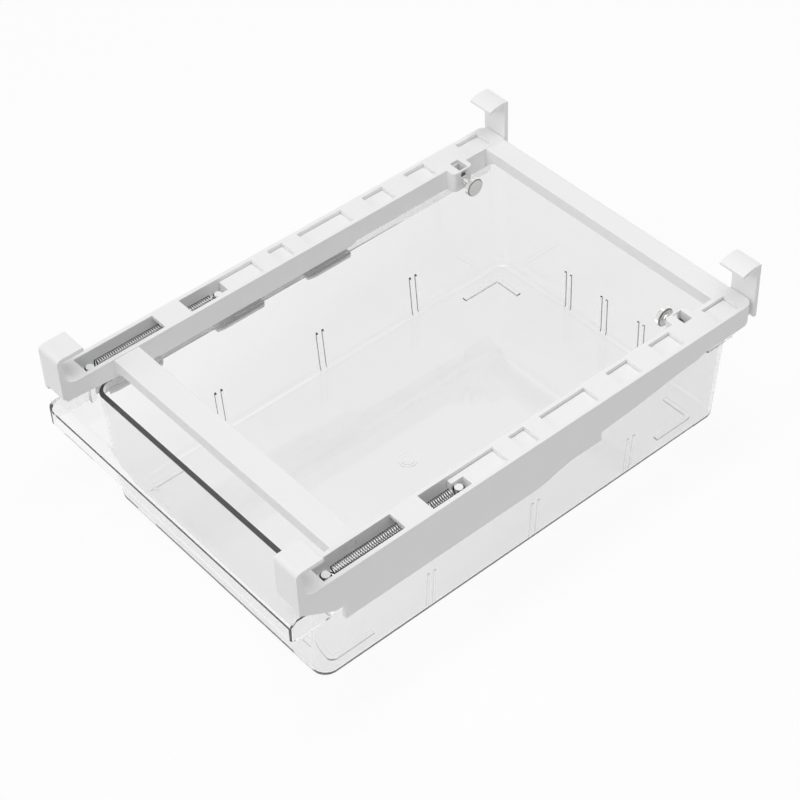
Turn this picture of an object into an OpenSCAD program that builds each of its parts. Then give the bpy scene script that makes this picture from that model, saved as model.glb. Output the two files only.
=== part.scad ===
// Fridge drawer organizer. A clear drawer hangs from a white frame that grips a fridge shelf:
// fixed clips at the front, and two sprung hooks at the rear that thumb screws lock in place.
// X runs across, the drawer opens towards -Y, and the drawer stands on its feet at Z = 0.

/* [Frame] */
// Width over both rails
frame_w = 206; // [190:1:260]
// Length of a rail, from the front of its clip to its rear end
rail_len = 302; // [290:1:330]
// Width of a rail
rail_w = 16.4; // [16:0.1:18]
// Thickness of the rails' side walls
wall_t = 2.4; // [2.2:0.1:2.6]
// Thickness of the rails' top plate
top_t = 2; // [1.8:0.1:2.3]
// Depth of the rails' inner wall
inner_h = 14.4; // [14:0.1:15.6]
// How far the outer skirt reaches below the drawer's ledges
skirt_below = 4.7; // [3:0.1:8]
// Thickness of the ledges that carry the drawer
ledge_t = 1.6; // [1.2:0.1:2.4]
// Radius of the frame's rear corners, seen from above
rear_r = 5.5; // [2:0.1:6]

/* [Front clips] */
// Height of a clip above the rail
clip_h = 18.5; // [14:0.1:26]
// Length of a clip from its front face
clip_len = 16.3; // [12:0.1:16.6]
// Thickness of a clip's front wall
clip_t = 3.2; // [2.6:0.1:4]
// Thickness of a clip's flange
clip_flange_t = 2.3; // [1.8:0.1:3]
// Radius of a clip's outer bend
clip_r = 3; // [2:0.1:4]
// Radius of the hollow between a clip and the rail
clip_floor_r = 7; // [4:0.1:9]

/* [Rear hooks] */
// Height of a hook above the rail
hook_h = 24.6; // [18:0.1:30]
// Length of a hook over its flange and plate
hook_len = 13.4; // [12:0.1:15]
// Thickness of a hook's plate
hook_t = 2.6; // [2:0.1:3]
// Radius of its flange's arched top
hook_bow_r = 19.5; // [14:0.1:30]
// Thickness of the flange where it meets the plate
hook_flange_t = 2.1; // [1.8:0.1:2.8]
// Thickness of the flange at its thin front edge
hook_tip_t = 1.4; // [0.8:0.1:1.8]
// How far a hook's plate reaches below the rail's top
hook_drop = 11; // [9:0.1:12]
// Height of the slide bar that carries a hook
bar_h = 8.4; // [7.6:0.1:8.6]
// Running gap round a slide bar
bar_gap = 0.3; // [0.2:0.05:0.4]

/* [Springs] */
// Outer diameter of a spring
spring_d = 5.65; // [5:0.05:6]
// Diameter of its wire
wire_d = 0.8; // [0.6:0.05:0.9]
// Number of its curls
curls = 44; // [30:1:44]

/* [Thumb screws] */
// Diameter of a screw's shank
screw_d = 3; // [2.6:0.1:3.2]
// Length of the shank
shank_len = 14.2; // [14:0.1:14.6]
// Diameter of the knurled head
head_d = 11.4; // [9:0.1:12]
// Thickness of the knurled head
head_t = 3; // [2.4:0.1:4]
// Width of the square nut
nut_w = 5.5; // [5:0.1:5.6]
// Thickness of the square nut
nut_t = 2.4; // [1.8:0.1:3]

/* [Drawer] */
// Height of the drawer, from its floor to its rim
drawer_h = 75.4; // [60:0.2:100]
// Gap between the drawer's rim and the rails' inner walls
rim_gap = 1.4; // [0.3:0.1:2]
// Thickness of the drawer's walls and floor
bin_t = 2; // [1.6:0.1:2.4]
// Width of the rim from the opening to its outer edge
rim_w = 6.1; // [5.8:0.1:7]
// How far each side wall leans in from rim to floor
lean = 5.1; // [3:0.1:8]
// How far the front wall leans in from rim to floor
front_lean = 1.2; // [0:0.1:3]
// Radius of the drawer's upright corners
corner_r = 6.7; // [4:0.1:10]
// Radius of the edge round its floor
floor_r = 3.5; // [2.6:0.1:5]
// Depth of the turned-down edge that rides on the ledges
flange_h = 9.2; // [8:0.1:9.4]
// How far the handle lip stands forward of the rails
lip_out = 3; // [1:0.1:8]
// Depth of the handle lip's front
lip_h = 13.6; // [10:0.1:18]
// Radius of the handle lip's upper edge
lip_r = 6; // [4:0.1:8]
// Height of the drawer's feet
foot_h = 1.2; // [0.8:0.1:2]

/* [Hidden] */
$fn = 48;
over = 1;              // how far a cut runs past the face that it opens
overlap = 0.3;         // how far joined forms of one moulding run into each other

// Frame: heights are measured down from the rails' top, places back from the clips' front
bin_top = inner_h + rim_gap;
ledge_gap = 0.3;
ledge_top = bin_top + flange_h + ledge_gap;
skirt_mid = ledge_top + ledge_t;
skirt_h = skirt_mid + skirt_below;
skirt_front = 9.4;
skirt_nose = 21.7;
skirt_step = 21.2;
skirt_rear = 13.5;
channel_w = rail_w - wall_t * 2;
half_w = frame_w / 2;
rail_in = half_w - rail_w;
channel_in = rail_in + wall_t;
channel_out = half_w - wall_t;
channel_mid = channel_in + channel_w / 2;
nose_shares = [0.068, 0.087];
curve_shares = [0.491, 0.58];
curve_steps = 8;
tail_shares = [[0.6394, 0], [0.729, 0.247], [0.808, 0.623], [0.8666, 0.805], [0.8834, 1], [0.9815, 1]];
heel_shares = [[0.9935, 0.889], [1, 0.63]];
inner_edge_shares = [[0, 0.45], [0.008, 0.7], [0.0563, 0.765], [0.0805, 0.805], [0.1156, 0.86],
    [0.186, 0.97], [0.2, 1], [0.63, 1], [0.64, 0.88], [1, 0.88]];
window_shares = [[0.056, 0.22], [0.277, 0.436], [0.471, 0.505], [0.539, 0.64], [0.69, 0.739],
    [0.79, 0.839], [0.919, 0.973]];
ledge_shares = [[0.0993, 0.2152], [0.3311, 0.4391], [0.5364, 0.6394]];
tab_windows = [2, 4, 5, 6];
tab_t = 1.6;
tab_top = top_t + bar_gap * 2 + bar_h;
ledge_bite = 4;
ledge_r = 3;
ledge_tip = 5;

// Front floor of a rail, and the post that holds the spring
front_floor_end = 27;
front_floor_t = 2;
front_floor_top = 9;
post_d = 4.5;
post_top = 4.3;
post_in = 5.5;
front_post_y = window_shares[0][0] * rail_len + post_in;

// Front clip
clip_in_r = 1.2;
clip_drop_share = 0.85;

// Screw boss: a pocket for the nut in the rail's inner wall
screw_back = 35.1;
screw_y = rail_len - screw_back;
screw_z = 8.1;
screw_gap = 0.06;
boss_front = 8.2;
boss_rear = 5.9;
boss_t = 5.9;
boss_h = 12.7;
boss_skin = 1;
boss_nose_r = 2.6;
pocket_gap = 0.15;
pocket_w = nut_w + pocket_gap * 2;
pocket_h = screw_z + pocket_w / 2;
boss_in = rail_in - boss_t;
peep_w = 4.2;
peep_top = 0.6;
peep_low = 5.2;
ring_r = 4.2;
ring_t = 0.5;
tip_gap = 0.3;

// Crossbars
front_cross_drop = 0.4;
cross_t = 2;
cross_h = 7.2;
front_cross_y = 32.2;
front_cross_w = 15.6;
rear_cross_w = 14.1;
cross_r = 1.5;
cross_ribs = 5;
tongue_h = 3.4;
tongue_in = 2.5;
tongue_low = 2;
tongue_gap = 0.1;
gusset_w = 6;
front_gusset_h = 2.4;
rear_gusset_h = 5.3;

// Slide bar and hook
bar_in = channel_in + bar_gap;
bar_out = channel_out - bar_gap;
bar_top = top_t + bar_gap;
bar_low = bar_top + bar_h;
bar_front_share = 0.3384;
bar_front = bar_front_share * rail_len;
recess_len = 7.4;
prong_w = 3;
recess_floor_t = 2;
rear_post_in = 2.6;
rear_post_y = bar_front + rear_post_in;
core_wall = 2.2;
core_top = 2.6;
core_count = 6;
hook_seat = 0.3;
hook_in_r = 1.4;
hook_crest_back = 5.4;
plate_front = rail_len + hook_seat;
plate_rear = plate_front + hook_t;
hook_front = plate_rear - hook_len;
crest_y = plate_rear - hook_crest_back;
bow_z = hook_h - hook_bow_r;

// Spring
spring_gap = 0.4;
spring_z = top_t + spring_gap + spring_d / 2;
seat_gap = 0.3;
ring_steps = 8;
wire_sides = 6;
ramp_steps = 4;

// Thumb screw and nut
teeth = 40;
tooth_t = 0.35;
head_rim = 0.5;
collar_r = 2.4;
collar_t = 1;
tip_x = channel_in;
head_x = tip_x - shank_len;

// Drawer
side_gap = 4.3;
flange_half = half_w - wall_t - side_gap;
bin_half = flange_half - rim_w;
bin_front = 20.1;
bin_front_t = 2.4;
cavity_front = bin_front + bin_front_t;
rear_rim = 0.8;
flange_end_gap = 0.3;
flange_rear = rail_len - flange_end_gap;
cavity_rear = flange_rear - rear_rim - bin_t;
bin_low = bin_top + drawer_h;
cavity_low = bin_low - bin_t;
rail_top = bin_low + foot_h;
lip_side_gap = 1.3;
lip_half = half_w - wall_t - lip_side_gap;
lip_end = 23.4;
lip_side_r = 1.6;
lip_edge_r = 2.4;
lip_heel_r = 3;
notch_shares = [0.893, 0.918];
notch_h = 7;
rim_corner_r = 4;
thin = 0.01;
bin_fn = 32;
fillet_steps = 4;
rib_w = 1.2;
rib_h = 1;
rib_pair = 4.2;
rib_height = 27;
rib_side_shares = [0.252, 0.508, 0.756];
rib_rear_share = 0.32;
foot_w = 2.8;
foot_side = 9;
foot_end = 11.7;
foot_long = 27.5;
foot_short = 19.7;
foot_r = 3.5;
gate_share = 0.502;
gate_r = [5.3, 3.4];
gate_t = [0.25, 0.5];

// Where the middle of the whole part lies, back from the clips' front
mid_y = (plate_rear - lip_out) / 2;

// Moves a piece from its working place, under the rails' top, to where it stands
module placed() translate([0, -mid_y, rail_top]) children();

// Turns the right-hand piece into the left-hand one
module on_side(s) if (s < 0) mirror([1, 0, 0]) children(); else children();

// An outline in Y and Z, made as thick in X as from x0 to x1
module across(x0, x1) translate([x0, 0, 0]) rotate([90, 0, 90]) linear_extrude(x1 - x0) children();

// An outline in X and Z, made as long in Y as from y0 to y1
module along(y0, y1) translate([0, y1, 0]) rotate([90, 0, 0]) linear_extrude(y1 - y0) children();

// A box from one corner to the other
module block(a, b) translate(a) cube(b - a);

// What a round corner takes away from a square one
module corner_cut(r) difference() {
    translate([-over, -over]) square(r + over);
    translate([r, r]) circle(r);
}

// A rectangle whose corners are rounded: low front, low rear, high rear, high front
module soft_rect(a, b, r) difference() {
    translate(a) square(b - a);
    if (r[0] > 0) translate(a) corner_cut(r[0]);
    if (r[1] > 0) translate([b[0], a[1]]) mirror([1, 0]) corner_cut(r[1]);
    if (r[2] > 0) translate(b) rotate(180) corner_cut(r[2]);
    if (r[3] > 0) translate([a[0], b[1]]) mirror([0, 1]) corner_cut(r[3]);
}

function ease(t) = t * t * (3 - 2 * t);

// Lower edge of a rail's outer skirt
skirt_line = concat(
    [[0, 0], [0, -skirt_front], [nose_shares[0] * rail_len, -skirt_nose],
        [nose_shares[1] * rail_len, -skirt_nose], [nose_shares[1] * rail_len, -skirt_h]],
    [for (i = [0 : curve_steps]) let (t = i / curve_steps)
        [(curve_shares[0] + (curve_shares[1] - curve_shares[0]) * t) * rail_len,
            -skirt_h + (skirt_h - skirt_mid) * ease(t)]],
    [[tail_shares[0][0] * rail_len, -skirt_mid]],
    [for (p = tail_shares) [p[0] * rail_len, -skirt_step + (skirt_step - skirt_rear) * p[1]]],
    [for (p = heel_shares) [p[0] * rail_len, -skirt_rear * p[1]]],
    [[rail_len, 0]]);

// Outline of a rail's inner wall
inner_line = concat([[0, 0]], [for (p = inner_edge_shares) [p[0] * rail_len, -inner_h * p[1]]],
    [[rail_len, 0]]);

// Profile of a front clip, with its round bend and the hollow at its foot
module clip_profile() difference() {
    soft_rect([0, -skirt_front * clip_drop_share], [clip_len, clip_h], [clip_in_r, 0, clip_in_r / 2, clip_r]);
    soft_rect([clip_t, 0], [clip_len + over, clip_h - clip_flange_t], [clip_floor_r, 0, 0, clip_in_r]);
    translate([clip_t, -skirt_front - over]) square([clip_len + over, skirt_front + over]);
}

// The screw boss, seen from above: two rounded lobes on either side of the nut
module boss_plan() soft_rect([boss_in, screw_y - boss_front], [rail_in + overlap, screw_y + boss_rear],
    [boss_nose_r, 0, 0, boss_nose_r]);

module ledges() for (s = ledge_shares)
    translate([0, 0, -ledge_top - ledge_t]) linear_extrude(ledge_t) difference() {
        soft_rect([flange_half - ledge_bite, s[0] * rail_len], [channel_out + overlap, s[1] * rail_len],
            [0, 0, 0, ledge_r]);
        polygon([[flange_half - ledge_bite - over, s[0] * rail_len - over],
            [flange_half - ledge_bite + ledge_bite / 4, s[0] * rail_len - over],
            [flange_half - ledge_bite, s[0] * rail_len + ledge_tip],
            [flange_half - ledge_bite - over, s[0] * rail_len + ledge_tip]]);
    }

module rail() difference() {
    union() {
        across(channel_out, half_w) polygon(skirt_line);
        across(rail_in, channel_in) polygon(inner_line);
        block([rail_in, 0, -top_t], [half_w, rail_len, 0]);
        across(rail_in, half_w) clip_profile();
        ledges();
        // floor tabs that carry the slide bar
        for (i = tab_windows)
            block([channel_in - overlap, window_shares[i][0] * rail_len, -tab_top - tab_t],
                [channel_out + overlap, window_shares[i][1] * rail_len, -tab_top]);
        // front floor and the spring's post
        block([channel_in - overlap, clip_t - overlap, -front_floor_top - front_floor_t],
            [channel_out + overlap, front_floor_end, -front_floor_top]);
        translate([channel_mid, front_post_y, -front_floor_top - overlap])
            cylinder(d = post_d, h = front_floor_top + overlap - post_top);
        // screw boss
        translate([0, 0, -boss_h]) linear_extrude(boss_h) boss_plan();
    }
    for (s = window_shares)
        block([channel_in, s[0] * rail_len, -top_t - over], [channel_out, s[1] * rail_len, over]);
    // nut pocket, open above and towards the slide bar
    block([boss_in + boss_skin, screw_y - pocket_w / 2, -pocket_h],
        [channel_in + over, screw_y + pocket_w / 2, over]);
    block([boss_in - over, screw_y - pocket_w / 2, -peep_low],
        [boss_in + boss_skin + over, screw_y - pocket_w / 2 + peep_w, -peep_top]);
    translate([boss_in - over, screw_y, -screw_z]) rotate([0, 90, 0])
        cylinder(d = screw_d + screw_gap * 2, h = boss_skin + over * 2);
    translate([boss_in - over, screw_y, -screw_z]) rotate([0, 90, 0]) cylinder(r = ring_r, h = ring_t + over);
    // rounded rear outer corner
    translate([half_w, rail_len, -skirt_h - over]) rotate(180) linear_extrude(skirt_h + over * 2)
        corner_cut(rear_r);
    // sockets for the crossbars' tongues
    for (c = [[front_cross_y, front_cross_w, front_cross_drop], [rail_len - rear_cross_w, rear_cross_w, 0]])
        block([rail_in - over, c[0] + tongue_in - tongue_gap, -tongue_low - c[2] - tongue_h - tongue_gap],
            [channel_in + over, c[0] + c[1] - tongue_in + tongue_gap, -tongue_low - c[2] + tongue_gap]);
}

// A crossbar is an upside-down channel with cross ribs, and a tongue at each end
module crossbar(y, w, gusset_h, rear_round) {
    across(-rail_in, rail_in) difference() {
        soft_rect([y, -cross_h], [y + w, 0], [0, 0, rear_round, 0]);
        translate([y + cross_t, -cross_h - over]) square([w - cross_t * 2, cross_h - cross_t + over]);
    }
    for (s = [-1, 1]) on_side(s) {
        block([rail_in - overlap, y + tongue_in, -tongue_low - tongue_h],
            [channel_in - tongue_gap, y + w - tongue_in, -tongue_low]);
        block([rail_in - cross_t, y + cross_t - overlap, -cross_h], [rail_in, y + w - cross_t + overlap, -cross_t + overlap]);
        for (g = [y, y + w - cross_t]) along(g, g + cross_t)
            polygon([[rail_in, -cross_h + overlap], [rail_in, -cross_h - gusset_h],
                [rail_in - gusset_w, -cross_h], [rail_in - gusset_w, -cross_h + overlap]]);
    }
    for (i = [1 : cross_ribs])
        translate([-rail_in + rail_in * 2 * i / (cross_ribs + 1) - cross_t / 2, y + cross_t - overlap, -cross_h])
            cube([cross_t, w - (cross_t - overlap) * 2, cross_h - cross_t + overlap]);
}

// Height of a hook's arched top at some place along it, and of its underside at the plate and the tip
function bow_at(y) = bow_z + sqrt(hook_bow_r * hook_bow_r - (y - crest_y) * (y - crest_y));
hook_under = bow_at(plate_front) - hook_flange_t;
hook_under_tip = bow_at(hook_front) - hook_tip_t;

// Profile of a rear hook: the plate and its arched, tapered flange
module hook_profile() difference() {
    polygon([[plate_rear, -hook_drop], [plate_rear, hook_h + over], [hook_front, hook_h + over],
        [hook_front, hook_under_tip], [plate_front, hook_under], [plate_front, -hook_drop]]);
    difference() {
        translate([hook_front - over, bow_z]) square([hook_len + over * 2, hook_bow_r + over * 2]);
        translate([crest_y, bow_z]) circle(hook_bow_r);
    }
    translate([plate_front, -hook_drop]) corner_cut(hook_t / 2 - thin);
    translate([plate_rear, -hook_drop]) mirror([1, 0]) corner_cut(hook_t / 2 - thin);
}

module hook_slide() difference() {
    union() {
        across(rail_in, half_w) hook_profile();
        // fillet under the flange
        across(rail_in, half_w) translate([plate_front + overlap, hook_under + overlap]) difference() {
            translate([-hook_in_r - overlap, -hook_in_r - overlap]) square(hook_in_r + overlap);
            translate([-hook_in_r - overlap, -hook_in_r - overlap]) circle(hook_in_r);
        }
        // the bar itself
        block([bar_in, bar_front + recess_len, -bar_low], [bar_out, plate_front + overlap, -bar_top]);
        // the front prong, and the low floor that carries the spring's post
        block([bar_in, bar_front, -bar_low], [bar_in + prong_w, bar_front + recess_len + overlap, -bar_top]);
        block([bar_in, bar_front, -bar_low],
            [bar_out, bar_front + recess_len + overlap, -bar_low + recess_floor_t]);
        translate([channel_mid, rear_post_y, -bar_low + recess_floor_t - overlap])
            cylinder(d = post_d, h = bar_low - recess_floor_t + overlap - post_top);
    }
    // cores from below, as a moulding has, with cross ribs between them
    for (i = [0 : core_count - 1])
        let (y0 = bar_front + recess_len + core_wall,
            step = (plate_front - core_wall - y0) / core_count)
            block([bar_in + core_wall, y0 + step * i, -bar_low - over],
                [bar_out - core_wall, y0 + step * (i + 1) - core_wall, -bar_top - core_top]);
}

// Spring: an unbroken wire that leaves one post straight, winds, and meets the other straight
coil_r = (spring_d - wire_d) / 2;
wire_start = front_post_y + post_d / 2 + seat_gap;
wire_end = rear_post_y - post_d / 2 - seat_gap;
coil_start = wire_start + wire_d;
coil_end = wire_end - wire_d;
turn_steps = curls * ring_steps;
total_steps = turn_steps + ramp_steps * 2;
spring_path = concat(
    [[0, wire_start, 0]],
    [for (i = [0 : total_steps]) let (
        a = 360 * (i - ramp_steps) / ring_steps,
        r = coil_r * ease(min(1, i / ramp_steps, (total_steps - i) / ramp_steps)))
        [r * cos(a), coil_start + (coil_end - coil_start) * i / total_steps, r * sin(a)]],
    [[0, wire_end, 0]]);

function unit(v) = v / norm(v);
function flat_to(n, t) = unit(n - (n * t) * t);
function turns_of(path) = let (k = len(path) - 1) [for (i = [0 : k])
    i == 0 || i == k ? [0, 1, 0] : i == 1 || i == k - 1 ? unit(unit(path[i + 1] - path[i]) + [0, 1, 0])
    : unit(path[i + 1] - path[i - 1])];

// A wire of even thickness along a path, closed at both ends
module wire(path, d, sides) {
    t = turns_of(path);
    n = [for (i = 0, v = [1, 0, 0]; i < len(path); i = i + 1, v = i < len(path) ? flat_to(v, t[i]) : v) v];
    pts = [for (i = [0 : len(path) - 1], j = [0 : sides - 1]) let (b = cross(t[i], n[i]), a = 360 * j / sides)
        path[i] + (n[i] * cos(a) + b * sin(a)) * d / 2];
    last = (len(path) - 1) * sides;
    faces = concat(
        [[for (j = [0 : sides - 1]) j]],
        [for (i = [0 : len(path) - 2], j = [0 : sides - 1]) let (k = (j + 1) % sides)
            each [[i * sides + j, (i + 1) * sides + j, i * sides + k],
                [i * sides + k, (i + 1) * sides + j, (i + 1) * sides + k]]],
        [[for (j = [sides - 1 : -1 : 0]) last + j]]);
    polyhedron(pts, faces, convexity = 10);
}

// Least gap of the spring's wire to itself, between points that lie about a curl apart
self_gap = min([for (i = [0 : len(spring_path) - 1], j = [i + ring_steps / 2 : i + ring_steps * 2])
    if (j < len(spring_path)) norm(spring_path[i] - spring_path[j])]) - wire_d;
echo(spring_gap_to_itself = self_gap);

module spring(s) translate([s * channel_mid, 0, -spring_z]) wire(spring_path, wire_d, wire_sides);

// Knurled outline of a screw's head
knurl = [for (i = [0 : teeth * 2 - 1]) let (a = 180 * i / teeth, r = head_d / 2 - (i % 2) * tooth_t)
    [r * cos(a), r * sin(a)]];

module thumb_screw() translate([0, screw_y, -screw_z]) rotate([0, 90, 0]) {
    translate([0, 0, head_x - head_t]) union() {
        translate([0, 0, head_rim]) linear_extrude(head_t - head_rim * 2) polygon(knurl);
        cylinder(r = head_d / 2 - tooth_t - head_rim, h = head_t);
        translate([0, 0, head_rim / 2]) cylinder(r = head_d / 2 - tooth_t, h = head_t - head_rim);
        cylinder(r = collar_r, h = head_t + collar_t);
        cylinder(d = screw_d, h = head_t + shank_len);
    }
}

module square_nut() difference() {
    block([boss_in + boss_skin, screw_y - nut_w / 2, -screw_z - nut_w / 2],
        [boss_in + boss_skin + nut_t, screw_y + nut_w / 2, -screw_z + nut_w / 2]);
    translate([boss_in, screw_y, -screw_z]) rotate([0, 90, 0])
        cylinder(d = screw_d + screw_gap * 2, h = boss_skin + nut_t + over);
}

// Half width of the drawer's inside, and the place of its front, at a depth below the rim
function inside_half(depth) = bin_half - lean * depth / (drawer_h - bin_t);
function inside_front(depth) = cavity_front + front_lean * depth / (drawer_h - bin_t);

// The drawer's inside (grow = 0) or its outside (grow = wall), from a height above the rim to a floor
module bin_form(grow_side, grow_front, grow_rear, top, low, r_low) hull()
    for (k = [-1 : fillet_steps]) let (
        a = k < 0 ? 0 : 90 * k / fillet_steps,
        z = k < 0 ? -bin_top + top : -low + r_low * (1 - sin(a)),
        d = -bin_top - z,
        cut = k < 0 ? 0 : r_low * (1 - cos(a)),
        x = inside_half(d) + grow_side - cut,
        y0 = inside_front(d) - grow_front + cut,
        y1 = cavity_rear + grow_rear - cut,
        r = max(corner_r + grow_side - cut, thin))
        for (sx = [-1, 1], y = [y0 + r, y1 - r])
            translate([sx * (x - r), y, z]) cylinder(r = r, h = thin, $fn = bin_fn);

// The handle lip, as a block rounded at its upper edges and front corners, drawn in by some thickness
module lip_form(t, low, rear) intersection() {
    across(-lip_half + t, lip_half - t)
        soft_rect([-lip_out + t, -low], [rear, -bin_top - t], [0, lip_heel_r, 0, lip_r - t]);
    along(-lip_out - over, rear + over)
        soft_rect([-lip_half + t, -low - over], [lip_half - t, -bin_top - t], [0, 0, max(lip_side_r - t, 0),
            max(lip_side_r - t, 0)]);
    translate([0, 0, -low - over]) linear_extrude(low - bin_top + over * 2)
        soft_rect([-lip_half + t, -lip_out + t], [lip_half - t, rear + over],
            [max(lip_edge_r - t, 0), max(lip_edge_r - t, 0), 0, 0]);
}

module side_rib(y) along(y - rib_w / 2, y + rib_w / 2) let (d1 = drawer_h - bin_t, d0 = d1 - rib_height)
    polygon([[inside_half(d0) + overlap, -bin_top - d0 + rib_h], [inside_half(d0) - rib_h, -bin_top - d0],
        [inside_half(d1) - rib_h, -bin_top - d1 - overlap], [inside_half(d1) + overlap, -bin_top - d1 - overlap]]);

// One L-shaped foot under the floor, in the rear right corner
module foot(y, back) let (x = inside_half(drawer_h - bin_t) + bin_t - foot_side)
    translate([0, y, -bin_low - foot_h]) mirror([0, back ? 0 : 1, 0]) linear_extrude(foot_h + overlap) difference() {
        soft_rect([x - foot_short, -foot_long], [x, 0], [0, 0, foot_r, 0]);
        translate([x - foot_short - over, -foot_long - over])
            square([foot_short + over - foot_w, foot_long + over - foot_w]);
    }

module drawer() difference() {
    union() {
        difference() {
            union() {
                bin_form(bin_t, bin_front_t, bin_t, -thin, bin_low, floor_r);
                // rim all round
                translate([0, 0, -bin_top - bin_t]) linear_extrude(bin_t)
                    soft_rect([-flange_half, bin_front], [flange_half, flange_rear], [0, 0, rim_corner_r, rim_corner_r]);
                // edges turned down at the sides
                for (s = [-1, 1]) on_side(s) difference() {
                    block([flange_half - bin_t, bin_front, -bin_top - flange_h],
                        [flange_half, flange_rear - rim_corner_r, -bin_top - overlap]);
                    block([flange_half - bin_t - over, notch_shares[0] * rail_len, -bin_top - flange_h - over],
                        [flange_half + over, notch_shares[1] * rail_len, -bin_top - flange_h + notch_h]);
                }
                // handle lip
                difference() {
                    lip_form(0, bin_top + lip_h, lip_end);
                    difference() {
                        lip_form(bin_t, bin_top + lip_h + over, lip_end + over);
                        for (s = [-1, 1]) on_side(s)
                            block([flange_half - bin_t, bin_front, -bin_top - lip_h], [lip_half, lip_end, -bin_top]);
                    }
                }
            }
            bin_form(0, 0, 0, over, cavity_low, floor_r - bin_t / 2);
        }
        // pairs of ribs that hold dividers
        for (s = [-1, 1]) on_side(s) for (p = rib_side_shares, q = [-1, 1])
            side_rib(cavity_front + (cavity_rear - cavity_front) * p + q * rib_pair / 2);
        for (p = [-1, 0, 1], q = [-1, 1])
            translate([p * bin_half * rib_rear_share + q * rib_pair / 2 - rib_w / 2, cavity_rear - rib_h, -cavity_low - overlap])
                cube([rib_w, rib_h + overlap, rib_height + overlap]);
        // feet, and the mark of the mould's gate under the floor
        for (s = [-1, 1]) on_side(s) {
            foot(cavity_rear + bin_t - foot_end, true);
            foot(bin_front + front_lean + foot_end, false);
        }
        for (i = [0, 1]) translate([0, gate_share * rail_len, -bin_low - gate_t[i]])
            cylinder(r = gate_r[i], h = gate_t[i] + overlap);
    }
}

frame_white = [0.95, 0.95, 0.95];
steel = [0.7, 0.7, 0.72];
dark_steel = [0.3, 0.3, 0.32];
clear = [0.88, 0.92, 0.94, 0.45];

module left_rail() color(frame_white) placed() on_side(-1) rail();
module right_rail() color(frame_white) placed() on_side(1) rail();
module front_crossbar() color(frame_white) placed() translate([0, 0, -front_cross_drop])
    crossbar(front_cross_y, front_cross_w, front_gusset_h, 0);
module rear_crossbar() color(frame_white) placed()
    crossbar(rail_len - rear_cross_w, rear_cross_w, rear_gusset_h, cross_r);
module left_hook_slide() color(frame_white) placed() on_side(-1) hook_slide();
module right_hook_slide() color(frame_white) placed() on_side(1) hook_slide();
module left_spring() color(steel) placed() spring(-1);
module right_spring() color(steel) placed() spring(1);
module left_thumb_screw() color(steel) placed() on_side(-1) thumb_screw();
module right_thumb_screw() color(steel) placed() on_side(1) thumb_screw();
module left_square_nut() color(dark_steel) placed() on_side(-1) square_nut();
module right_square_nut() color(dark_steel) placed() on_side(1) square_nut();
module clear_drawer() color(clear) placed() drawer();

left_rail();
right_rail();
front_crossbar();
rear_crossbar();
left_hook_slide();
right_hook_slide();
left_spring();
right_spring();
left_thumb_screw();
right_thumb_screw();
left_square_nut();
right_square_nut();
clear_drawer();  // drawer
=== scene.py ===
import math

import bmesh
import bpy
from mathutils import Matrix, Vector


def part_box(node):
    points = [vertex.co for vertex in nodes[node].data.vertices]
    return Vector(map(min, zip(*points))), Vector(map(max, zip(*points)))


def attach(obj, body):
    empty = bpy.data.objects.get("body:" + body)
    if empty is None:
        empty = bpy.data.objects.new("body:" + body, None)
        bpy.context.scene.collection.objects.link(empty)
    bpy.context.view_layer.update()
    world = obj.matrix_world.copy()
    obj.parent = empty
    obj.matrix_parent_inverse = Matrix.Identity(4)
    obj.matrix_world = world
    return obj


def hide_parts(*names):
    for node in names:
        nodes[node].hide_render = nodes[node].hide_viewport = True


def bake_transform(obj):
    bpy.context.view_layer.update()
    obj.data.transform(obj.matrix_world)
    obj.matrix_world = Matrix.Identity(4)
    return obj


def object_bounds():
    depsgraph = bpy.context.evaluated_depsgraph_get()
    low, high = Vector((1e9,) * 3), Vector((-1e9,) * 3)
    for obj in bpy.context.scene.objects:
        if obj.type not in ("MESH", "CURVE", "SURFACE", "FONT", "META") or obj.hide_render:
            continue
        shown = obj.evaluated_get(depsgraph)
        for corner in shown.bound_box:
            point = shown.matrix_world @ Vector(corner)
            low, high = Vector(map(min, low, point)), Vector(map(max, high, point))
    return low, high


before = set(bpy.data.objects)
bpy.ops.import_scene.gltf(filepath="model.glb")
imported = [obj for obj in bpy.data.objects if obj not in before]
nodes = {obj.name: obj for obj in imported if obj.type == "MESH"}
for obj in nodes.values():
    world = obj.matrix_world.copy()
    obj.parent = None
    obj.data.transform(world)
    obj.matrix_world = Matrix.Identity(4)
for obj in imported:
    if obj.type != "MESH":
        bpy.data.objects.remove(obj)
cad_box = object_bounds()


# Camera, at the photograph's place and angle

def aim(place, az, el, roll, lens):
    fwd = Vector((math.sin(az) * math.cos(el), math.cos(az) * math.cos(el), -math.sin(el)))
    right0 = Vector((math.cos(az), -math.sin(az), 0))
    up0 = right0.cross(fwd)
    right = math.cos(roll) * right0 + math.sin(roll) * up0
    up = -math.sin(roll) * right0 + math.cos(roll) * up0
    data = bpy.data.cameras.new("camera")
    data.lens, data.sensor_width, data.sensor_fit = lens, 36, "AUTO"
    data.clip_start, data.clip_end = 0.05, 20
    cam = bpy.data.objects.new("camera", data)
    bpy.context.scene.collection.objects.link(cam)
    turn = Matrix((right, up, -fwd)).transposed().to_4x4()
    cam.matrix_world = Matrix.Translation(place) @ turn
    bpy.context.scene.camera = cam


aim((0.63180, -0.51563, 0.83957), -0.8892, 0.7706, -0.0433, 97.437)

scene = bpy.context.scene
scene.view_settings.view_transform = "Standard"


# Node helpers

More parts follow.
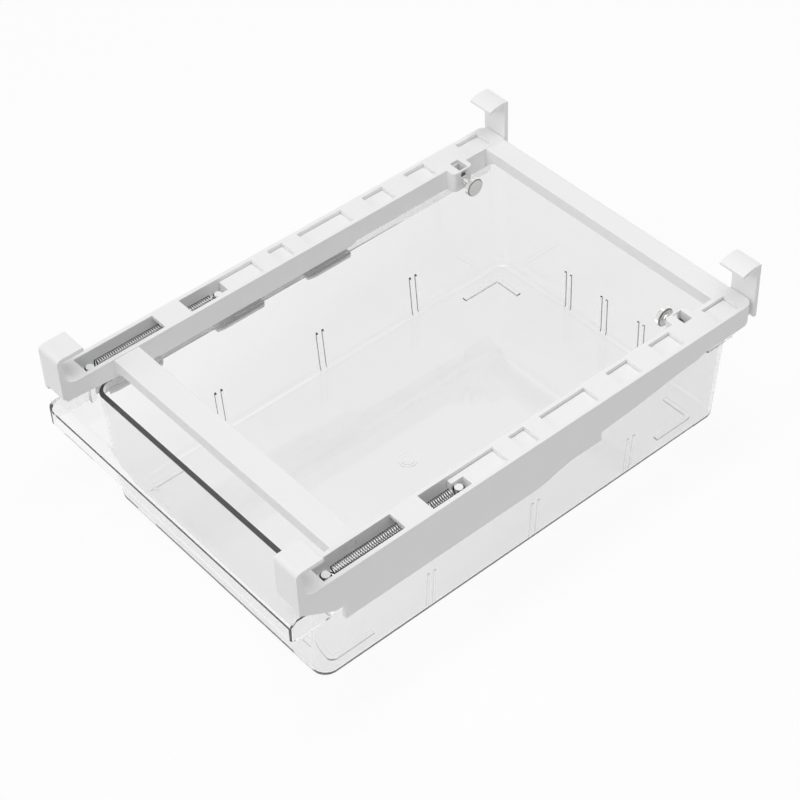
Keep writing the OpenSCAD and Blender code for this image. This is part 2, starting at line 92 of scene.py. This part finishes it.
class Nodes:
    """A material's node tree, with short calls for the nodes that it needs."""

    def __init__(self, name):
        self.mat = bpy.data.materials.new(name)
        self.mat.use_nodes = True
        self.tree = self.mat.node_tree
        self.bsdf = self.tree.nodes["Principled BSDF"]
        self.out = self.tree.nodes["Material Output"]

    def add(self, kind, **values):
        n = self.tree.nodes.new(kind)
        for key, value in values.items():
            if key in n.inputs:
                n.inputs[key].default_value = value
            else:
                setattr(n, key, value)
        return n

    def link(self, a, b):
        self.tree.links.new(a, b)

    def coord(self):
        return self.add("ShaderNodeTexCoord").outputs["Object"]

    def noise(self, scale, detail=3.0, rough=0.5):
        n = self.add("ShaderNodeTexNoise", Scale=scale, Detail=detail, Roughness=rough)
        self.link(self.coord(), n.inputs["Vector"])
        return n.outputs["Fac"]

    def span(self, value, low, high, start=0.0, end=1.0):
        n = self.add("ShaderNodeMapRange")
        n.inputs["From Min"].default_value = start
        n.inputs["From Max"].default_value = end
        n.inputs["To Min"].default_value = low
        n.inputs["To Max"].default_value = high
        self.link(value, n.inputs["Value"])
        return n.outputs["Result"]

    def mix(self, fac, a, b):
        n = self.add("ShaderNodeMix", data_type="RGBA")
        self.link(fac, n.inputs[0])
        n.inputs[6].default_value = (*a, 1)
        n.inputs[7].default_value = (*b, 1)
        return n.outputs[2]

    def bump(self, height, strength, distance):
        n = self.add("ShaderNodeBump", Strength=strength, Distance=distance)
        self.link(height, n.inputs["Height"])
        self.link(n.outputs["Normal"], self.bsdf.inputs["Normal"])
        return n


def any_ray(tree, *kinds):
    """Socket that is 1 for light rays of any of the kinds and 0 for all others."""
    path = tree.nodes.new("ShaderNodeLightPath")
    found = path.outputs[kinds[0]]
    for kind in kinds[1:]:
        either = tree.nodes.new("ShaderNodeMath")
        either.operation = "MAXIMUM"
        tree.links.new(found, either.inputs[0])
        tree.links.new(path.outputs[kind], either.inputs[1])
        found = either.outputs[0]
    return found


def set_bsdf(bsdf, **values):
    for key, value in values.items():
        bsdf.inputs[key.replace("_", " ")].default_value = value


# White moulded plastic: satin, with a fine eroded grain and faint flow marks

def white_plastic():
    n = Nodes("white_plastic")
    set_bsdf(n.bsdf, IOR=1.46)
    shade = n.noise(34, 4, 0.55)
    n.link(n.mix(shade, (0.885, 0.888, 0.89), (0.905, 0.905, 0.9)), n.bsdf.inputs["Base Color"])
    n.link(n.span(n.noise(220, 3), 0.36, 0.5), n.bsdf.inputs["Roughness"])
    n.bump(n.noise(2600, 2), 0.12, 0.00004)
    return n.mat


# Clear plastic: light passes through it, so it throws only a faint shadow

def clear_plastic():
    n = Nodes("clear_plastic")
    set_bsdf(n.bsdf, Transmission_Weight=1.0, IOR=1.5)
    # Painted shade: the plastic is coloured darker towards its floor, where the ground beneath lies in the
    # drawer's shadow, and darker towards the rear, with a faint noise through it.
    place = n.add("ShaderNodeSeparateXYZ")
    n.link(n.coord(), place.inputs[0])
    floor_shade_and_noise = n.add("ShaderNodeMath", operation="MULTIPLY_ADD")
    floor_shade_and_noise.inputs[1].default_value = 0.2
    n.link(n.noise(12, 2), floor_shade_and_noise.inputs[0])
    n.link(n.span(place.outputs["Z"], 0, 1, 0, cad_box[1].z), floor_shade_and_noise.inputs[2])
    painted_shade_level = n.add("ShaderNodeMath", operation="ADD")
    painted_shade_level.use_clamp = True
    n.link(floor_shade_and_noise.outputs[0], painted_shade_level.inputs[0])
    n.link(n.span(place.outputs["Y"], 0.35, -0.8, cad_box[0].y, cad_box[1].y), painted_shade_level.inputs[1])
    painted_shade_tint = n.mix(painted_shade_level.outputs[0], (0.87, 0.87, 0.87), (0.965, 0.965, 0.965))
    n.link(painted_shade_tint, n.bsdf.inputs["Base Color"])
    n.link(n.span(n.noise(60, 3), 0.01, 0.04), n.bsdf.inputs["Roughness"])
    n.bump(n.noise(45, 2), 0.08, 0.0002)
    clear = n.add("ShaderNodeBsdfTransparent", Color=(0.985, 0.985, 0.985, 1))
    milk = n.add("ShaderNodeBsdfTranslucent", Color=(0.88, 0.88, 0.88, 1))
    body = n.add("ShaderNodeMixShader")
    body.inputs[0].default_value = 0.02
    n.link(n.bsdf.outputs[0], body.inputs[1])
    n.link(milk.outputs[0], body.inputs[2])
    pick = n.add("ShaderNodeMixShader")
    n.link(any_ray(n.tree, "Is Shadow Ray", "Is Diffuse Ray"), pick.inputs[0])
    n.link(body.outputs[0], pick.inputs[1])
    n.link(clear.outputs[0], pick.inputs[2])
    n.link(pick.outputs[0], n.out.inputs["Surface"])
    return n.mat


# Metals of even shade: nickel plate, a screw's turned face, a darker metal painted on the chamfers beside its
# faces as shade, and a dark metal

def metal(name, dark, light, rough, grain):
    n = Nodes(name)
    set_bsdf(n.bsdf, Metallic=1.0)
    n.link(n.mix(n.noise(grain, 4), dark, light), n.bsdf.inputs["Base Color"])
    n.link(n.span(n.noise(grain * 2.5, 3), rough * 0.8, rough * 1.3), n.bsdf.inputs["Roughness"])
    n.bump(n.noise(grain * 4, 2), 0.15, 0.00003)
    return n.mat


white = white_plastic()
clear = clear_plastic()
nickel = metal("nickel_plate", (0.6, 0.6, 0.595), (0.78, 0.775, 0.765), 0.18, 600)
nickel_face = metal("turned_face", (0.62, 0.62, 0.615), (0.8, 0.8, 0.79), 0.4, 1500)
painted_shade_chamfer = metal("painted_shade_chamfer", (0.2, 0.2, 0.2), (0.32, 0.32, 0.315), 0.35, 700)
# A dark metal, used for the square nuts.
dark_metal = metal("dark_metal", (0.1, 0.1, 0.105), (0.17, 0.17, 0.175), 0.35, 700)


def painted_shade_metal(name, centre, low, high, dark, light, grain):
    """Metal painted dark near an axis and light further out: painted shade in hollows, such as inside a coil or
    between knurls.
    A place in centre that is None runs along the axis, and X is taken on either side alike."""
    n = Nodes(name)
    set_bsdf(n.bsdf, Metallic=1.0)
    place = n.add("ShaderNodeSeparateXYZ")
    n.link(n.coord(), place.inputs[0])
    side = n.add("ShaderNodeMath", operation="ABSOLUTE")
    n.link(place.outputs["X"], side.inputs[0])
    flat = n.add("ShaderNodeCombineXYZ")
    for socket, value, out in (("X", centre[0], side.outputs[0]), ("Y", centre[1], place.outputs["Y"]),
                               ("Z", centre[2], place.outputs["Z"])):
        if value is not None:
            n.link(out, flat.inputs[socket])
    reach = n.add("ShaderNodeVectorMath", operation="DISTANCE")
    n.link(flat.outputs[0], reach.inputs[0])
    reach.inputs[1].default_value = [v or 0 for v in centre]
    n.link(n.mix(n.span(reach.outputs["Value"], 0, 1, low, high), dark, light), n.bsdf.inputs["Base Color"])
    n.link(n.span(n.noise(grain, 3), 0.14, 0.3), n.bsdf.inputs["Roughness"])
    n.bump(n.noise(grain * 2, 2), 0.15, 0.00003)
    return n.mat


# Nodes carried over from the frame: joined faces, softened edges, smooth shading within 30 degrees

def dress(name, mat, edge):
    o = nodes[name]
    o.data.materials.clear()
    o.data.materials.append(mat)
    for p in o.data.polygons:
        p.use_smooth = True
    weld = o.modifiers.new("weld", "WELD")
    weld.merge_threshold = 0.000002
    flat = o.modifiers.new("flat", "DECIMATE")
    flat.decimate_type = "DISSOLVE"
    flat.angle_limit = math.radians(0.6)
    if edge:
        bevel = o.modifiers.new("edges", "BEVEL")
        bevel.width, bevel.segments = edge, 3
        bevel.limit_method, bevel.angle_limit = "ANGLE", math.radians(32)
        bevel.use_clamp_overlap = True
    split = o.modifiers.new("sharp", "EDGE_SPLIT")
    split.split_angle = math.radians(30)
    shade = o.modifiers.new("shade", "WEIGHTED_NORMAL")
    shade.keep_sharp = True
    return o


for side in ("left", "right"):
    dress(side + "_rail", white, 0.0003)
    dress(side + "_hook_slide", white, 0.0003)
    dress(side + "_square_nut", dark_metal, 0.0002)
dress("front_crossbar", white, 0.0003)
dress("rear_crossbar", white, 0.0003)
dress("drawer", clear, 0)


# New pieces

def new_piece(name, verts, faces, mat, smooth=True):
    mesh = bpy.data.meshes.new(name)
    mesh.from_pydata([tuple(v) for v in verts], [], faces)
    mesh.update()
    bm = bmesh.new()
    bm.from_mesh(mesh)
    bmesh.ops.recalc_face_normals(bm, faces=bm.faces)
    bm.to_mesh(mesh)
    bm.free()
    for p in mesh.polygons:
        p.use_smooth = smooth
    mesh.materials.append(mat)
    o = bpy.data.objects.new(name, mesh)
    scene.collection.objects.link(o)
    return o


def sweep(points, radius, sides):
    """Vertices and faces of a round tube of even thickness along the points, with capped ends."""
    verts, faces = [], []
    normal = None
    for i, p in enumerate(points):
        a, b = points[max(i - 1, 0)], points[min(i + 1, len(points) - 1)]
        t = (b - a).normalized()
        if normal is None:
            normal = t.orthogonal().normalized()
        normal = (normal - t * normal.dot(t)).normalized()
        other = t.cross(normal)
        for k in range(sides):
            g = 2 * math.pi * k / sides
            verts.append(p + (normal * math.cos(g) + other * math.sin(g)) * radius)
    for i in range(len(points) - 1):
        for k in range(sides):
            a, b = i * sides + k, i * sides + (k + 1) % sides
            faces.append((a, b, b + sides, a + sides))
    faces.append(tuple(range(sides)))
    faces.append(tuple(range((len(points) - 1) * sides, len(points) * sides)))
    return verts, faces


# Springs: close coils with a loop at each end, hung over the posts

def spring(side, s):
    lo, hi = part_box(side + "_spring")
    axis_x, axis_z = (lo.x + hi.x) / 2, (lo.z + hi.z) / 2
    outer = (hi.x - lo.x) / 2
    wire = 0.00036
    r = outer - wire
    post_r = 0.00225
    hook_r = post_r + wire + 0.00008
    seat = 0.0003
    front_post, rear_post = lo.y - seat - post_r, hi.y + seat + post_r
    y0, y1 = lo.y + 0.0018, hi.y - 0.0018
    coils, steps = 54, 20
    # Painted shade: the wire is coloured nearly black on the coil's inner side and light only on its outermost
    # side, as shade inside the coil.
    wire_mat = painted_shade_metal(side + "_wire", (abs(axis_x), None, axis_z), r + wire * 0.3, r + wire,
                          (0.02, 0.02, 0.021), (0.7, 0.7, 0.7), 1800)
    pts = []
    # front loop lies flat round the post, then rises into the coil's outer side
    for k in range(13):
        g = math.radians(-150 + 300 * k / 12)
        pts.append(Vector((axis_x - hook_r * math.sin(g) * s, front_post - hook_r * math.cos(g), axis_z)))
    total = coils * steps
    for k in range(total + 1):
        g = 2 * math.pi * k / steps
        pts.append(Vector((axis_x + r * math.cos(g) * s, y0 + (y1 - y0) * k / total, axis_z + r * math.sin(g))))
    for k in range(13):
        g = math.radians(-150 + 300 * k / 12)
        pts.append(Vector((axis_x + hook_r * math.sin(g) * s, rear_post + hook_r * math.cos(g), axis_z)))
    o = new_piece(side + "_coil_spring", *sweep(pts, wire, 8), wire_mat)
    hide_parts(side + "_spring")
    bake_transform(o)
    return o


spring("left", -1)
spring("right", 1)


# Thumb screws: a knurled head with a turned face, a collar, and a threaded shank

def screw(side, s):
    lo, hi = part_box(side + "_thumb_screw")
    axis = Vector((0, (lo.y + hi.y) / 2, (lo.z + hi.z) / 2))
    head_r, head_x, tip_x = (hi.y - lo.y) / 2, min(abs(lo.x), abs(hi.x)), max(abs(lo.x), abs(hi.x))
    face_r, rim_r, collar_r, shank_r = 0.0048, 0.0053, 0.0024, 0.00148
    chamfer, head_t, collar_t, step = 0.0004, 0.003, 0.001, 0.0001
    knurl_t, teeth, around, turn = 0.00034, 40, 160, 0.0005
    # profile: distance from the face along the axis, radius, depth of knurl, and the material from here on
    knurled, turned, dark, bright = range(4)
    back, collar_x = head_t, head_t + collar_t
    # The rows marked dark are the chamfers beside each face, coloured a darker metal as painted shade.
    rows = [(0, 0.0, 0, turned), (0, face_r * 0.5, 0, turned), (0, face_r, 0, dark), (chamfer, rim_r, 0, knurled),
            (chamfer + step, head_r, 1, knurled), (back / 2, head_r, 1, knurled),
            (back - chamfer - step, head_r, 1, knurled), (back - chamfer, rim_r, 0, dark),
            (back, face_r, 0, turned), (back, collar_r, 0, bright), (collar_x - step, collar_r, 0, bright),
            (collar_x, collar_r - step, 0, bright), (collar_x, shank_r, 0, bright)]
    verts, faces, kinds = [], [], []
    for u, r, deep, kind in rows:
        for k in range(around):
            g = 2 * math.pi * k / around
            cut = knurl_t * deep * (0.5 - 0.5 * math.cos(g * teeth))
            verts.append(axis + Vector((s * (head_x + u), (r - cut) * math.cos(g), (r - cut) * math.sin(g))))
        kinds.append(kind)
    steps = 220
    start = head_x + collar_x
    for i in range(1, steps + 1):
        u = start + (tip_x - 0.0005 - start) * i / steps
        for k in range(around):
            g = 2 * math.pi * k / around
            phase = ((u - start) / turn - k / around) % 1
            r = shank_r - 0.0003 * abs(2 * phase - 1)
            verts.append(axis + Vector((s * u, r * math.cos(g), r * math.sin(g))))
        kinds.append(bright)
    for k in range(around):
        g = 2 * math.pi * k / around
        verts.append(axis + Vector((s * tip_x, 0.001 * math.cos(g), 0.001 * math.sin(g))))
    kinds.append(bright)
    rings = len(kinds)
    for i in range(rings - 1):
        for k in range(around):
            a, b = i * around + k, i * around + (k + 1) % around
            faces.append((a, b, b + around, a + around))
    faces.append(tuple((rings - 1) * around + k for k in range(around)))
    # Painted shade: the knurled rim is coloured darker down in the troughs between the knurls than on the crests.
    plate = painted_shade_metal(side + "_nickel", (None, axis.y, axis.z), head_r - knurl_t, head_r - knurl_t * 0.3,
                       (0.4, 0.4, 0.395), (0.95, 0.945, 0.935), 900)
    o = new_piece(side + "_knurled_screw", verts, faces, plate)
    for mat in (nickel_face, painted_shade_chamfer, nickel):
        o.data.materials.append(mat)
    for i, p in enumerate(o.data.polygons):
        p.material_index = kinds[min(i // around, rings - 1)]
    weld = o.modifiers.new("weld", "WELD")
    weld.merge_threshold = 0.000001
    split = o.modifiers.new("sharp", "EDGE_SPLIT")
    split.split_angle = math.radians(50)
    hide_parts(side + "_thumb_screw")
    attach(o, side + "_screw")
    return o


screw("left", -1)
screw("right", 1)


# Light: a plain soft studio of three broad suns and a box overhead, weakest on the object's right side

def sun(name, direction, strength, angle):
    data = bpy.data.lights.new(name, "SUN")
    data.energy, data.angle = strength, math.radians(angle)
    o = bpy.data.objects.new(name, data)
    o.rotation_mode = "QUATERNION"
    o.rotation_quaternion = Vector(direction).to_track_quat("-Z", "Y")
    scene.collection.objects.link(o)


def softbox(name, place, size, power):
    data = bpy.data.lights.new(name, "AREA")
    data.shape, data.size, data.size_y, data.energy = "RECTANGLE", size[0], size[1], power
    o = bpy.data.objects.new(name, data)
    o.location = place
    scene.collection.objects.link(o)


sun("top_light", (-0.2, 0.12, -1), 0.86, 50)
sun("front_light", (0.2, 0.84, -0.5), 0.74, 40)
sun("back_light", (0.1, -0.8, -0.6), 0.25, 40)
softbox("overhead_box", (0.03, 0.0, 0.5), (0.14, 0.5), 0.34)

world = bpy.data.worlds.new("studio")
scene.world = world
world.use_nodes = True
tree = world.node_tree
back = tree.nodes["Background"]
back.inputs["Color"].default_value = (1, 1, 1, 1)
level = tree.nodes.new("ShaderNodeMapRange")
level.inputs["To Min"].default_value = 0.36
level.inputs["To Max"].default_value = 1.0
tree.links.new(any_ray(tree, "Is Camera Ray", "Is Transmission Ray", "Is Glossy Ray"), level.inputs["Value"])
tree.links.new(level.outputs[0], back.inputs["Strength"])


# Floor: pale to the camera, and it keeps the object's soft shadow

def floor_material():
    n = Nodes("floor_paper")
    set_bsdf(n.bsdf, Roughness=0.9, Specular_IOR_Level=0.0)
    n.link(n.mix(n.noise(8, 2), (0.8, 0.8, 0.8), (0.82, 0.82, 0.82)), n.bsdf.inputs["Base Color"])
    glow = n.add("ShaderNodeEmission", Strength=1.0)
    lit = n.add("ShaderNodeBsdfDiffuse", Color=(1, 1, 1, 1))
    soft = n.add("ShaderNodeMixShader")
    soft.inputs[0].default_value = 0.15
    n.link(glow.outputs[0], soft.inputs[1])
    n.link(lit.outputs[0], soft.inputs[2])
    pick = n.add("ShaderNodeMixShader")
    n.link(any_ray(n.tree, "Is Camera Ray", "Is Glossy Ray", "Is Transmission Ray"), pick.inputs[0])
    n.link(n.bsdf.outputs[0], pick.inputs[1])
    n.link(soft.outputs[0], pick.inputs[2])
    n.link(pick.outputs[0], n.out.inputs["Surface"])
    return n.mat


half, drop = 3.0, -0.0002
corners = [(-half, -half, drop), (half, -half, drop), (half, half, drop), (-half, half, drop)]
ground = new_piece("floor", corners, [(0, 1, 2, 3)], floor_material(), False)
